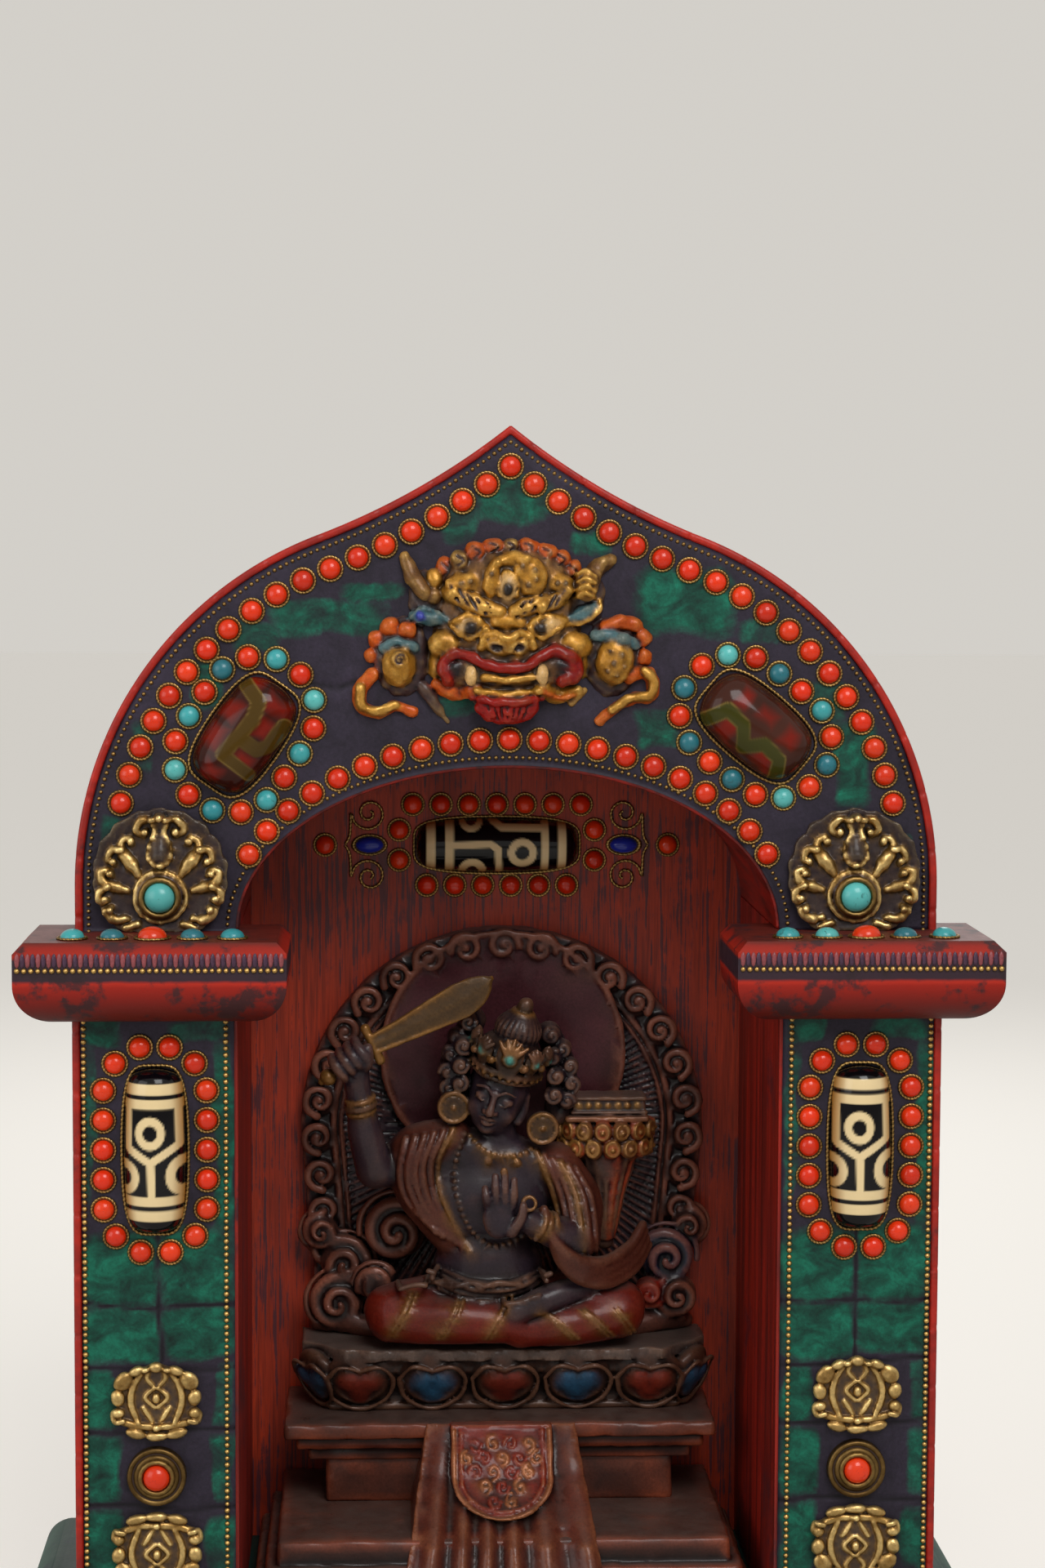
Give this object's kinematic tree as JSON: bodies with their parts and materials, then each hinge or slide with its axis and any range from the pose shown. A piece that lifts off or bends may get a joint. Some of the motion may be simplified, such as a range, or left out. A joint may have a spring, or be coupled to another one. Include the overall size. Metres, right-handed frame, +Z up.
{
  "type": "buddha niche",
  "caption": "Table-top shrine niche: a jewelled ogee arch on pillars with coral, turquoise and etched agate, and a seated sword-bearing figure on a lotus throne inside.",
  "frame": {"origin": "middle of the base's underside, on the table", "axes": "+Z up, +X to the right as seen from the front, the front faces -Y"},
  "size_m": [0.252, 0.126, 0.331],
  "materials": {
    "red_lacquer": "worn red lacquer",
    "stone_mosaic": "polished malachite and dark resin mosaic",
    "coral": "polished coral cabochons",
    "turquoise": "polished turquoise cabochons",
    "gilt_brass": "antique gilt",
    "carnelian_agate": "polished",
    "etched_agate": "polished, pale etched pattern",
    "lapis": "polished",
    "carved_wood": "dark painted and gilt carving"
  },
  "bodies": {
    "root": {"base_foot": "red_lacquer", "left_pillar": "red_lacquer", "right_pillar": "red_lacquer", "left_cap": "red_lacquer", "right_cap": "red_lacquer", "arch": "red_lacquer", "back_panel": "red_lacquer", "base_moulding": "stone_mosaic", "left_pillar_facing": "stone_mosaic", "right_pillar_facing": "stone_mosaic", "arch_facing": "stone_mosaic", "arch_rim_corals": "coral", "arch_vault_corals": "coral", "agate_ring_corals": "coral", "left_pillar_corals": "coral", "right_pillar_corals": "coral", "roundel_corals": "coral", "cap_corals": "coral", "panel_corals": "coral", "agate_ring_turquoises": "turquoise", "medallion_turquoises": "turquoise", "cap_turquoises": "turquoise", "monster_mask": "gilt_brass", "left_medallion": "gilt_brass", "right_medallion": "gilt_brass", "left_upper_thunderbolt": "gilt_brass", "left_lower_thunderbolt": "gilt_brass", "right_upper_thunderbolt": "gilt_brass", "right_lower_thunderbolt": "gilt_brass", "thunderbolt_roundels": "gilt_brass", "left_agate_bead": "carnelian_agate", "right_agate_bead": "carnelian_agate", "left_eye_bead": "etched_agate", "right_eye_bead": "etched_agate", "panel_eye_bead": "etched_agate", "panel_lapis": "lapis", "throne_base": "carved_wood", "throne_waist": "carved_wood", "throne_top": "carved_wood", "throne_cloth": "carved_wood", "lotus_seat": "carved_wood", "halo": "carved_wood", "figure": "carved_wood", "sword": "carved_wood", "sutra_lotus": "carved_wood"}
  },
  "joints": []
}
